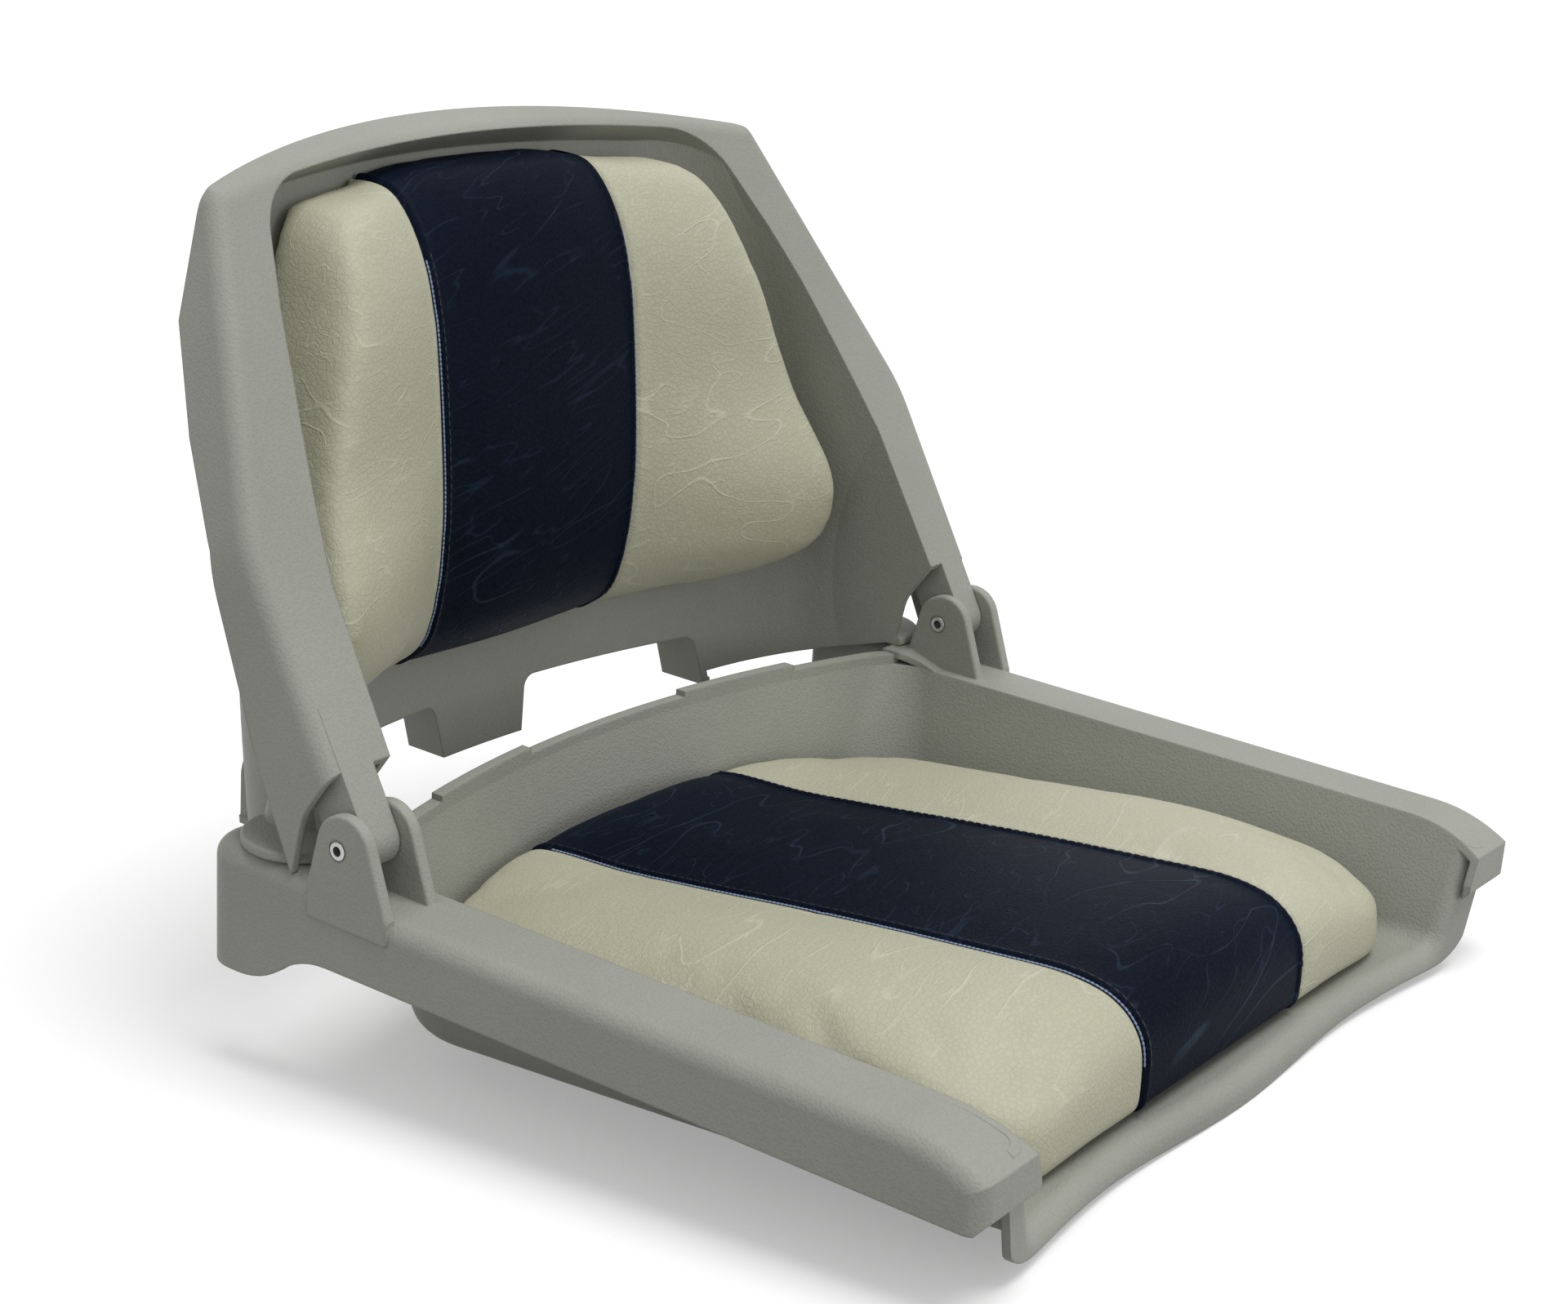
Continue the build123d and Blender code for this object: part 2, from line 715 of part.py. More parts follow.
def seat_pad_loft(inset):
    """Seat cushion lofted from front to back, running down through the floor."""
    sections = []
    for along, half, seam, side in seat_pad_stations:
        if along == seat_pad_stations[0][0]:
            along += inset
        if along == seat_pad_stations[-1][0]:
            along -= inset
        face = pad_section(half, seam, side, -stand_height - overrun / 2, inset)
        sections.append(Pos(0, along, 0) * (Plane.XZ * face))
    return loft(sections)


def back_pad_loft(inset):
    """Back cushion lofted upwards, running back through the panel."""
    sections = []
    for height, half, seam, side in back_pad_stations:
        rear = bowl_reach + height * math.tan(math.radians(panel_lean)) + pad_rear_reach
        if height == back_pad_stations[0][0]:
            height += inset
        if height == back_pad_stations[-1][0]:
            height -= inset
        face = pad_section(half, -seam, -side, -rear, inset)
        sections.append(Pos(0, 0, height) * mirror(face, about=Plane.XZ))
    return loft(sections)


def seat_pad_form(inset):
    return seat_pad_loft(inset) & well_form(-pad_gap - inset, overrun, seat_pad_floor_gap)


def back_pad_form(inset):
    return back_pad_loft(inset) & bowl_form(-pad_gap)


def stripes(cover):
    """Cuts a cover along its two seams: left, centre and right."""
    half = stripe_half + seam_shift
    reach = 4 * front_reach
    centre = Box(2 * half, reach, reach)
    beside = Box(half_width, reach, reach, align=(Align.MAX, Align.CENTER, Align.CENTER))
    left = cover & Pos(-half, 0, 0) * beside
    return left, cover & centre, mirror(left, about=Plane.YZ)


# Fasteners


def cushion_screw(length):
    """Screw with a domed head, pointing up from the head's seat."""
    head = Cylinder(screw_head_radius, screw_head_height, align=downwards)
    head = fillet(head.edges().sort_by(Axis.Z)[0], screw_head_height / 2)
    screw = head + Cylinder(screw_radius, length + screw_seat_gap, align=upwards)
    return Pos(0, 0, -screw_seat_gap) * screw


def cushion_nut(low, play=0.0):
    """Flanged nut let into the cushion's board, with its flange on the foam side."""
    barrel = Cylinder(nut_barrel_radius + play, board_thickness, align=upwards)
    flange = Cylinder(nut_flange_radius + play, nut_flange + play, align=upwards)
    nut = Pos(0, 0, low) * (barrel + Pos(0, 0, board_thickness) * flange)
    return nut if play else nut - Cylinder(screw_radius + screw_play, 4 * stand_height)


def seat_spots():
    grid = GridLocations(seat_screw_width, seat_screw_depth, 2, 2)
    places = Pos(0, seat_screw_middle, floor_height - wall) * grid
    turn = Location((0, 0, 0), (-pitch_angle, 0, 0)) * Location((0, -pattern_back, -stand_height))
    return [turn * place for place in places]


def back_spots():
    """Places on the rear of the panel, each pointing square through it to the front."""
    radius = bowl_low_half ** 2 / (2 * bowl_sag) + bowl_sag / 2
    spots = []
    for height in (back_screw_low, back_screw_high):
        back = bowl_reach + height * math.tan(math.radians(panel_lean))
        for half in (-back_screw_half, back_screw_half):
            swing = math.degrees(math.asin(half / radius))
            along = back - radius + math.sqrt(radius ** 2 - half ** 2)
            spot = Location((half, along, height)) * Location((0, 0, 0), (0, 0, -swing))
            spots.append(spot * Location((0, 0, 0), (90 - panel_lean, 0, 0)) * Location((0, 0, -wall)))
    return spots


def place_all(spots, shape):
    return Compound(children=[spot * shape for spot in spots])


def hinge_pin(side):
    """Hollow pin with a rolled rim on each side of the ears."""
    start = ear_inner + pin_seat_depth - pin_gap
    end = half_width - pin_seat_depth + pin_gap
    pin = cross_pin(pin_radius, start, end)
    for near, far in ((start - pin_rim_height, start), (end, end + pin_rim_height)):
        rim = cross_pin(pin_rim_radius, near, far)
        outer = rim.edges().filter_by(GeomType.CIRCLE).sort_by(Axis.X)
        pin += fillet(outer[0] if near < start else outer[-1], pin_rim_height / 2)
    pin -= cross_pin(pin_bore, start - overrun, end + overrun)
    return pin if side > 0 else mirror(pin, about=Plane.YZ)


def threaded_insert():
    body = Cylinder(insert_radius, insert_length, align=upwards)
    body += Cylinder(insert_lip_radius, insert_lip, align=upwards)
    return body - Cylinder(insert_hole_radius, 4 * insert_length)


# Pieces

seat_holes = place_all(seat_spots(), Cylinder(screw_radius + screw_play, 2 * board_thickness))
back_holes = place_all(back_spots(), Cylinder(screw_radius + screw_play, 4 * board_thickness))
write("seat_shell", seat_pan() - seat_holes)
write("backrest_shell", backrest_shell() - back_holes)
write("hinge_pin_left", hinge_pin(-1))
write("hinge_pin_right", hinge_pin(1))
inserts = place_all(GridLocations(bolt_spacing, bolt_spacing, 2, 2), threaded_insert())
write_standing("mount_inserts", inserts)

inner_inset = cover_thickness + lining_gap
seat_cover = seat_pad_form(0) - seat_pad_loft(cover_thickness)
back_cover = back_pad_form(0) - back_pad_loft(cover_thickness)
for name, cover in (("seat", seat_cover), ("back", back_cover)):
    left, centre, right = stripes(cover)
    write(name + "_cover_left", left)
    write(name + "_cover_centre", centre)
    write(name + "_cover_right", right)

seat_inner = seat_pad_form(inner_inset)
board_room = Box(overall_width, 4 * front_reach, seat_pad_floor_gap + board_thickness, align=upwards)
seat_board = seat_inner & lie(Pos(0, 0, floor_height) * board_room)
back_inner = back_pad_form(inner_inset)
board_room = Box(2 * back_board_half, 4 * bowl_reach, back_board_high - back_board_low, align=upwards)
back_board = (back_inner & Pos(0, 0, back_board_low) * board_room) - bowl_form(-pad_gap - board_thickness)

for name, inner, board, spots, gap in (("seat", seat_inner, seat_board, seat_spots(), seat_pad_floor_gap),
                                       ("back", back_inner, back_board, back_spots(), pad_gap)):
    reach = wall + gap
    room = place_all(spots, cushion_nut(reach, nut_play))
    shaft = reach + board_thickness + nut_flange
    tip = place_all(spots, Cylinder(screw_radius + screw_play, 2 * (shaft + nut_flange)))
    write(name + "_cushion_board", board - room - tip)
    write(name + "_cushion_foam", inner - board - room - tip)
    write(name + "_cushion_nuts", place_all(spots, cushion_nut(reach)))
    write(name + "_cushion_screws", place_all(spots, cushion_screw(shaft)))
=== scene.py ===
import bmesh
import bpy
import json
import math
from mathutils import Matrix, Vector
from mathutils.bvhtree import BVHTree


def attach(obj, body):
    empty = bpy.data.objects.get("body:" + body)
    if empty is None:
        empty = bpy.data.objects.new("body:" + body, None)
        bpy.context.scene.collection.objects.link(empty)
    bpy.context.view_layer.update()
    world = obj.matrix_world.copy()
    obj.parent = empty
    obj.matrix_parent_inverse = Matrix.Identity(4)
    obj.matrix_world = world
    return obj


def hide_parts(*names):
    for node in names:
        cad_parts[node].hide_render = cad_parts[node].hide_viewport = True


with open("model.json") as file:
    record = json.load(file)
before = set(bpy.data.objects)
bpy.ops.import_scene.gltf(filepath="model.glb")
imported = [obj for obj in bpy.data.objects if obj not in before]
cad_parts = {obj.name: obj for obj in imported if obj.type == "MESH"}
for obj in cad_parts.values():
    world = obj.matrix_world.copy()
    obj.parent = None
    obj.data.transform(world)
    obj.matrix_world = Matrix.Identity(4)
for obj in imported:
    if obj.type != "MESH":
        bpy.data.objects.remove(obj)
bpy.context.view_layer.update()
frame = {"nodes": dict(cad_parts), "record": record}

# Folding boat seat. The moulded shells and the metal come from the frame; the padded
# covers, their seams and their stitches are made here. Lengths are metres, and mm()
# turns millimetres into them.

nodes = frame["nodes"]
scene = bpy.context.scene


def mm(value):
    return value / 1000


# the pan's own frame: y = 0 on the hinge line, z = 0 on the rail tops
panValues = {"hinge": (0, mm(106), mm(101)), "tilt": 4.6}
panTurn = Matrix.Rotation(math.radians(panValues["tilt"]), 4, "X")
panPlace = Matrix.Translation(panValues["hinge"]) @ panTurn
seamPlace = mm(75)    # how far both seams lie from the middle of the seat


def link(name, data):
    piece = bpy.data.objects.new(name, data)
    scene.collection.objects.link(piece)
    return piece


def feed(tree, socket, value):
    # a link where the value is a socket, and a fixed value where it is not
    if isinstance(value, bpy.types.NodeSocket):
        tree.links.new(value, socket)
    else:
        socket.default_value = value


def addNode(tree, kind, inputs=None, **settings):
    made = tree.nodes.new(kind)
    for name, value in settings.items():
        setattr(made, name, value)
    for name, value in (inputs or {}).items():
        feed(tree, made.inputs[name], value)
    return made


# Camera

cameraValues = {"place": (-1.0698, -0.7558, 0.5512), "azimuth": -53.07, "elevation": 15.9, "lens": 64.53}


def makeCamera(values):
    data = bpy.data.cameras.new("camera")
    data.lens = values["lens"]
    camera = link("camera", data)
    azimuth = math.radians(values["azimuth"])
    elevation = math.radians(values["elevation"])
    level = math.cos(elevation)
    back = Vector((math.sin(azimuth) * level, -math.cos(azimuth) * level, math.sin(elevation)))
    camera.location = values["place"]
    camera.rotation_mode = "QUATERNION"
    camera.rotation_quaternion = (-back).to_track_quat("-Z", "Y")
    scene.camera = camera
    print("camera placed")


makeCamera(cameraValues)


# Materials

class Amount:
    # one number in a material: sums written with it become Math nodes
    def __init__(self, paint, socket):
        self.paint = paint
        self.socket = socket

    def join(self, operation, first, second=None):
        inputs = {0: first} if second is None else {0: first, 1: second}
        return self.paint.number("ShaderNodeMath", inputs, operation=operation)

    def __add__(self, other):
        return self.join("ADD", self, other)

    def __radd__(self, other):
        return self.join("ADD", other, self)

    def __sub__(self, other):
        return self.join("SUBTRACT", self, other)

    def __rsub__(self, other):
        return self.join("SUBTRACT", other, self)

    def __mul__(self, other):
        return self.join("MULTIPLY", self, other)

    def __rmul__(self, other):
        return self.join("MULTIPLY", other, self)

    def __abs__(self):
        return self.join("ABSOLUTE", self)

    def sine(self):
        return self.join("SINE", self)

    def ramp(self, low, high):
        inputs = {"Value": self, "From Min": low, "From Max": high}
        return self.paint.number("ShaderNodeMapRange", inputs, interpolation_type="SMOOTHSTEP")


class Paint:
    # a material under construction
    def __init__(self, name):
        self.material = bpy.data.materials.new(name)
        self.material.use_nodes = True
        self.tree = self.material.node_tree
        self.shader = self.tree.nodes["Principled BSDF"]

    def add(self, kind, inputs=None, **settings):
        plain = {name: self.bare(value) for name, value in (inputs or {}).items()}
        return addNode(self.tree, kind, plain, **settings)

    def bare(self, value):
        return value.socket if isinstance(value, Amount) else value

    def put(self, socket, value):
        feed(self.tree, socket, self.bare(value))

    def number(self, kind, inputs, **settings):
        return Amount(self, self.add(kind, inputs, **settings).outputs[0])

    def place(self):
        return self.add("ShaderNodeTexCoord").outputs["Object"]

    def noise(self, scale, detail=2.0, place=None, distortion=0.0):
        inputs = {"Vector": place or self.place(), "Scale": scale, "Detail": detail}
        inputs["Distortion"] = distortion
        return self.number("ShaderNodeTexNoise", inputs)

    def cells(self, scale, place=None, feature="F1"):
        inputs = {"Vector": place or self.place(), "Scale": scale}
        return self.number("ShaderNodeTexVoronoi", inputs, feature=feature)

    def along(self, axis):
        split = self.add("ShaderNodeSeparateXYZ", {0: self.place()})
        return Amount(self, split.outputs[axis])

    def warped(self, scale, shift):
        # object coordinates pushed about by a coarse noise
        wander = self.add("ShaderNodeTexNoise", {"Vector": self.place(), "Scale": scale, "Detail": 2.0})
        centred = self.add("ShaderNodeVectorMath", {0: wander.outputs["Color"], 1: (0.5, 0.5, 0.5)},
                           operation="SUBTRACT")
        pushed = self.add("ShaderNodeVectorMath", {0: centred.outputs[0], "Scale": shift},
                          operation="SCALE")
        return self.add("ShaderNodeVectorMath", {0: self.place(), 1: pushed.outputs[0]}).outputs[0]

    def mix(self, share, low, high):
        made = self.add("ShaderNodeMix", data_type="RGBA")
        self.put(made.inputs["Factor"], share)
        self.put(made.inputs["A"], (*low, 1) if isinstance(low, tuple) else low)
        self.put(made.inputs["B"], (*high, 1) if isinstance(high, tuple) else high)
        return made.outputs["Result"]

    def bump(self, height, distance, normal=None, strength=1.0):
        inputs = {"Height": height, "Distance": distance, "Strength": strength}
        if normal:
            inputs["Normal"] = normal
        return self.add("ShaderNodeBump", inputs).outputs["Normal"]

    def finish(self, **values):
        for name, value in values.items():
            if isinstance(value, tuple):
                value = (*value, 1)
            self.put(self.shader.inputs[name.replace("_", " ")], value)
        return self.material


plasticValues = {"light": (0.322, 0.328, 0.288), "dark": (0.258, 0.263, 0.230), "cloud": 7.0,
                 "cloudShare": 0.7, "grain": 680.0, "grainSway": mm(0.9), "grainDepth": mm(0.14),
                 "pebbleHeight": 0.75, "fineHeight": 0.4, "roughness": 0.50, "specular": 0.38,
                 "softEdge": mm(1.6)}


def makePlastic(values):
    # matte moulded plastic with a pebbled grain and softened edges
    paint = Paint("moulded_plastic")
    cloud = paint.noise(values["cloud"], 3.0)
    pebbles = paint.cells(values["grain"], paint.warped(values["grain"] / 3, values["grainSway"]))
    fine = paint.noise(values["grain"] * 1.6, 1.0)
    height = pebbles.ramp(0.05, 0.75) * values["pebbleHeight"] + fine * values["fineHeight"]
    edge = paint.add("ShaderNodeBevel", {"Radius": values["softEdge"]}, samples=4).outputs["Normal"]
    normal = paint.bump(height, values["grainDepth"], edge)
    clouded = cloud.ramp(0.25, 0.75) * values["cloudShare"]
    shade = clouded + pebbles.ramp(0.1, 0.8) * (1 - values["cloudShare"])
    colour = paint.mix(shade, values["dark"], values["light"])
    rough = values["roughness"] + cloud * 0.08 + fine * 0.06
    return paint.finish(Base_Color=colour, Roughness=rough, Normal=normal,
                        Specular_IOR_Level=values["specular"])


# each colour's lighter crease ridge tint is a painted highlight
vinylValues = {
    "ivory": {"light": (0.470, 0.465, 0.350), "dark": (0.400, 0.393, 0.288), "crest": (0.60, 0.59, 0.47),
              "roughness": 0.46, "specular": 0.30, "turn": (0.0, -0.12, 0.1), "sparse": 0.46,
              "crease": 0.7},
    "navy": {"light": (0.0050, 0.0092, 0.0195), "dark": (0.0012, 0.0026, 0.0075),
             "crest": (0.022, 0.040, 0.070), "roughness": 0.46, "specular": 0.035,
             "turn": (0.0, -0.35, 0.05), "sparse": 0.42, "crease": 1.0},
    "cloud": 5.0, "cloudShare": 0.6, "grain": 330.0, "grainSway": mm(1.6), "grainDepth": mm(0.12),
    "seam": seamPlace, "pucker": mm(9), "puckers": 120.0, "puckerHeight": 0.8,
    "swells": 30.0, "swellDepth": mm(1.0), "swellStrength": 0.6,
    "stretch": (7.0, 1.0, 1.0), "sway": 0.20, "patches": 0.35, "patchEdge": 0.14,
    "long": {"scale": 38.0, "width": 0.013, "depth": mm(0.26), "share": 0.45},
    "short": {"scale": 105.0, "width": 0.026, "depth": mm(0.16), "share": 0.28}}


def creaseLines(paint, own, values, size):
    # thin lines along the level curves of a stretched noise, present only in patches
    scale = size["scale"]
    wavy = paint.warped(scale * 0.5, values["sway"] / scale)
    turned = paint.add("ShaderNodeMapping",
                       {"Vector": wavy, "Rotation": own["turn"], "Scale": values["stretch"]},
                       vector_type="TEXTURE")
    flow = paint.noise(scale, 0.6, turned.outputs["Vector"], 0.2)
    line = 1 - abs(flow - 0.5).ramp(0.0, size["width"])
    patches = paint.noise(scale * values["patches"], 2.0)
    return line * patches.ramp(own["sparse"], own["sparse"] + values["patchEdge"])


def makeVinyl(name, values):
    # coated fabric: leather grain, scattered creases with painted highlights on their ridges, puckers that
    # run out from the seams
    own = values[name]
    paint = Paint("vinyl_" + name)
    bent = paint.warped(values["grain"] / 4, values["grainSway"])
    grain = paint.cells(values["grain"], bent, "DISTANCE_TO_EDGE")
    fine = paint.noise(values["grain"] * 2.4, 2.0)
    skin = grain.ramp(0.0, 0.16) * 0.7 + fine * 0.35
    away = abs(abs(paint.along("X")) - values["seam"])
    wave = paint.noise(values["puckers"], 1.0) * (1 - away.ramp(0.0, values["pucker"]))
    swell = paint.noise(values["swells"], 2.0) + wave * values["puckerHeight"]
    normal = paint.bump(skin, values["grainDepth"])
    normal = paint.bump(swell, values["swellDepth"], normal, values["swellStrength"])
    crests = {}
    for size in ("short", "long"):
        crests[size] = creaseLines(paint, own, values, values[size])
        normal = paint.bump(crests[size], values[size]["depth"], normal, own["crease"])
    clouded = paint.noise(values["cloud"], 3.0).ramp(0.2, 0.8) * values["cloudShare"]
    shade = clouded + grain.ramp(0.0, 0.2) * (1 - values["cloudShare"])
    colour = paint.mix(shade, own["dark"], own["light"])
    # painted highlight: the crease lines are coloured lighter, as ridges catching the light
    creaseHighlightShare = crests["short"] * values["short"]["share"] + crests["long"] * values["long"]["share"]
    colour = paint.mix(creaseHighlightShare, colour, own["crest"])
    rough = own["roughness"] + fine * 0.12 - crests["long"] * 0.1
    return paint.finish(Base_Color=colour, Roughness=rough, Normal=normal,
                        Specular_IOR_Level=own["specular"])


metalValues = {"aluminium": {"colour": (0.62, 0.62, 0.61), "roughness": 0.34},
               "stainless": {"colour": (0.55, 0.55, 0.55), "roughness": 0.28},
               "brass": {"colour": (0.58, 0.42, 0.17), "roughness": 0.36}}
wearValues = {"scratches": 900.0, "stains": 90.0, "dullShare": 0.72, "depth": mm(0.04), "roughening": 0.16}


def makeMetal(name, values):
    # bare metal with fine scratches and faint stains
    paint = Paint(name)
    scratch = paint.noise(wearValues["scratches"], 3.0, distortion=1.5)
    stain = paint.noise(wearValues["stains"], 3.0)
    dull = tuple(part * wearValues["dullShare"] for part in values["colour"])
    colour = paint.mix(stain.ramp(0.3, 0.75), dull, values["colour"])
    rough = values["roughness"] + scratch * wearValues["roughening"]
    normal = paint.bump(scratch, wearValues["depth"])
    return paint.finish(Base_Color=colour, Roughness=rough, Metallic=1.0, Normal=normal)


plywoodValues = {"light": (0.52, 0.36, 0.20), "dark": (0.33, 0.20, 0.10), "plies": 4340.0,
                 "streaks": 60.0, "streakDepth": mm(0.2)}


def makePlywood(values):
    # pale and dark plies, broken up by a streaky noise
    paint = Paint("plywood")
    layers = (paint.along("Z") * values["plies"]).sine()
    streak = paint.noise(values["streaks"], 5.0, distortion=2.0)
    colour = paint.mix(layers.ramp(-0.6, 0.6) * 0.5 + streak * 0.5, values["dark"], values["light"])
    normal = paint.bump(streak, values["streakDepth"])
    return paint.finish(Base_Color=colour, Roughness=0.7 + streak * 0.2, Normal=normal)


foamValues = {"light": (0.80, 0.74, 0.55), "dark": (0.55, 0.49, 0.33), "cells": 900.0,
              "cellDepth": mm(0.3)}


def makeFoam(values):
    # open cells, darker in their middles: painted shade in the hollows
    paint = Paint("open_foam")
    holes = paint.cells(values["cells"])
    # painted shade: the middle of each cell is coloured darker
    colour = paint.mix(holes.ramp(0.1, 0.6), values["dark"], values["light"])
    normal = paint.bump(holes, values["cellDepth"])
    return paint.finish(Base_Color=colour, Roughness=0.85 + holes * 0.1, Normal=normal)


threadValues = {"pale": (0.26, 0.34, 0.52), "navy": (0.004, 0.007, 0.018), "twist": 2600.0,
                "twistDepth": mm(0.08), "shadeShare": 0.7}


def makeThread(name, values):
    # twisted yarn: fine slanting bands
    paint = Paint("thread_" + name)
    twist = ((paint.along("Y") + paint.along("Z") + paint.along("X")) * values["twist"]).sine()
    shaded = tuple(part * values["shadeShare"] for part in values[name])
    colour = paint.mix(twist.ramp(-1.0, 1.0), shaded, values[name])
    normal = paint.bump(twist, values["twistDepth"])
    return paint.finish(Base_Color=colour, Roughness=0.62 + twist * 0.08, Normal=normal)


materials = {"plastic_grey": makePlastic(plasticValues), "vinyl_ivory": makeVinyl("ivory", vinylValues),
             "vinyl_navy": makeVinyl("navy", vinylValues), "plywood": makePlywood(plywoodValues),
             "foam": makeFoam(foamValues)}
for metal, own in metalValues.items():
    materials[metal] = makeMetal(metal, own)
threads = {name: makeThread(name, threadValues) for name in ("pale", "navy")}
print("materials made")


# Moulded shells and metal

shellValues = {"sharpAngle": 32}

for part in frame["record"]["subparts"]:
    piece = nodes[part["node"]]
    piece.data.materials.clear()
    piece.data.materials.append(materials[part["material_slot"]])
    piece.data.shade_smooth()
    piece.data.set_sharp_from_angle(angle=math.radians(shellValues["sharpAngle"]))
print("frame pieces painted")


# Cushions

padValues = {"voxel": mm(5), "cap": mm(7), "frames": 20, "softening": 5, "calming": 4, "smoothing": 0.5}
clothValues = {"quality": 6, "mass": 0.3, "tension_stiffness": 18, "compression_stiffness": 12,
               "bending_stiffness": 1.2, "uniform_pressure_force": 4.0}    # named as the cloth's settings
seatPadValues = {
    "name": "seat", "body": "seat", "shrink": mm(1.4), "centre": (mm(-130), mm(-52)), "span": (6, 174),
    "moves": {
        "frontCorners": {"across": (mm(100), mm(185)), "along": (mm(-190), mm(-300)), "height": None,
                         "move": (mm(-2.6), mm(2.4), mm(-9.1))},
        "frontLow": {"across": (mm(90), mm(180)), "along": (mm(-285), mm(-310)),
                     "height": (mm(-12), mm(-40)), "move": (mm(5), mm(-2), mm(5))},
        "rear": {"across": (mm(160), mm(30)), "along": (mm(-26), mm(46)), "height": None,
                 "move": (0, mm(1), mm(7))}}}
backPadValues = {
    "name": "back", "body": "backrest", "shrink": mm(1.0), "centre": (mm(142), mm(155)), "span": (-80, 80),
    "moves": {
        "top": {"across": (mm(100), mm(40)), "along": None, "height": (mm(225), mm(285)),
                "move": (0, mm(1), mm(6.6))},
        "upperCorners": {"across": (mm(80), mm(150)), "along": None, "height": (mm(225), mm(280)),
                         "move": (mm(4.2), mm(-4.1), mm(-2.2))},
        "lowerSides": {"across": (mm(80), mm(160)), "along": None, "height": (mm(150), mm(80)),
                       "move": (mm(5), mm(-5.8), 0)},
        "lowerEdge": {"across": (mm(60), mm(130)), "along": None, "height": (mm(75), mm(40)),
                      "move": (0, mm(2.6), mm(7.9))}}}
mountValues = {"seatHeight": mm(26), "backPlace": mm(142), "backBow": 4.7}    # where a pad is held
seamValues = {"place": seamPlace, "valley": mm(1.6), "valleyWidth": mm(1.6), "fold": mm(1.1),
              "foldStart": mm(0.8), "foldEnd": mm(5.2), "columns": 7, "columnStep": mm(0.9),
              "held": mm(9), "holding": 0.85, "margin": mm(2), "merge": mm(0.02), "sharpAngle": 60}


def evaluated(piece):
    # the piece with its modifiers, as a plain mesh
    depsgraph = bpy.context.evaluated_depsgraph_get()
    return bpy.data.meshes.new_from_object(piece.evaluated_get(depsgraph))


def finished(piece):
    mesh = evaluated(piece)
    piece.modifiers.clear()
    piece.data = mesh
    return piece


def eased(value, limits):
    # 0 at the first limit, 1 at the second, smooth between them
    if limits is None:
        return 1.0
    share = min(1.0, max(0.0, (value - limits[0]) / (limits[1] - limits[0])))
    return share * share * (3 - 2 * share)


def reshaped(point, moves):
    # small moves that bring a pad's corners to where the photographed ones are
    inPan = panPlace.inverted() @ point
    for own in moves.values():
        share = eased(abs(inPan.x), own["across"])
        share *= eased(inPan.y, own["along"]) * eased(inPan.z, own["height"])
        outward = math.copysign(own["move"][0], inPan.x)
        inPan += Vector((outward, own["move"][1], own["move"][2])) * share
    return panPlace @ inPan


def padCore(values):
    # the frame's covers, foam and board as one remeshed body, a little smaller than they are
    joined = bmesh.new()
    for part in ("cover_left", "cover_centre", "cover_right", "cushion_foam", "cushion_board"):
        joined.from_mesh(nodes[values["name"] + "_" + part].data)
    mesh = bpy.data.meshes.new(values["name"] + "_core")
    joined.to_mesh(mesh)
    joined.free()
    core = link(values["name"] + "_core", mesh)
    remesh = core.modifiers.new("remesh", "REMESH")
    remesh.mode = "VOXEL"
    remesh.voxel_size = padValues["voxel"]
    smooth = core.modifiers.new("smooth", "SMOOTH")
    smooth.iterations = padValues["softening"]
    smooth.factor = padValues["smoothing"]
    finished(core)
    normals = [vertex.normal.copy() for vertex in core.data.vertices]
    for vertex, normal in zip(core.data.vertices, normals):
        vertex.co -= normal * values["shrink"]
    return core


def seamHold(point, values):
    # how firmly a point is held while the pad is blown up: at the seams and where it is mounted
    across = abs(abs(point.x) - seamValues["place"])
    seam = max(0.0, 1 - across / seamValues["held"])
    if values["body"] == "seat":
        mounted = point.z < mountValues["seatHeight"]
    else:
        panel = mountValues["backPlace"] - mountValues["backBow"] * point.x ** 2
        mounted = (panPlace.inverted() @ point).y > panel
    return 1.0 if mounted else seam * seamValues["holding"]


def blowUp(core, values):
    # cloth with pressure inside; no point may move further than the cap
    start = [vertex.co.copy() for vertex in core.data.vertices]
    held = core.vertex_groups.new(name="held")
    for index, point in enumerate(start):
        held.add([index], seamHold(point, values), "REPLACE")
    cloth = core.modifiers.new("cloth", "CLOTH")
    for name, value in clothValues.items():
        setattr(cloth.settings, name, value)
    cloth.settings.use_pressure = True
    cloth.settings.vertex_group_mass = "held"
    cloth.settings.effector_weights.gravity = 0
    cloth.point_cache.frame_end = padValues["frames"]
    for number in range(1, padValues["frames"] + 1):
        scene.frame_set(number)
    blown = evaluated(core)
    core.modifiers.clear()
    for vertex, before, after in zip(core.data.vertices, start, blown.vertices):
        move = after.co - before
        if move.length > padValues["cap"]:
            move *= padValues["cap"] / move.length
        vertex.co = before + move
    calm = core.modifiers.new("calm", "SMOOTH")
    calm.iterations = padValues["calming"]
    calm.factor = padValues["smoothing"]
    finished(core)


def seamProfile(offset):
    # height of the surface beside a seam; offset is positive on the navy side
    values = seamValues
    valley = -values["valley"] * math.exp(-(offset / values["valleyWidth"]) ** 2)
    if values["foldStart"] < offset < values["foldEnd"]:
        share = (offset - values["foldStart"]) / (values["foldEnd"] - values["foldStart"])
        return valley + values["fold"] * math.sin(math.pi * share) ** 0.5
    return valley


def cutAcross(form, place, outward, **settings):
    # cuts the mesh on a plane across the seat
    geometry = [*form.verts, *form.edges, *form.faces]
    return bmesh.ops.bisect_plane(form, geom=geometry, dist=seamValues["merge"], plane_co=(place, 0, 0),
                                  plane_no=(outward, 0, 0), **settings)


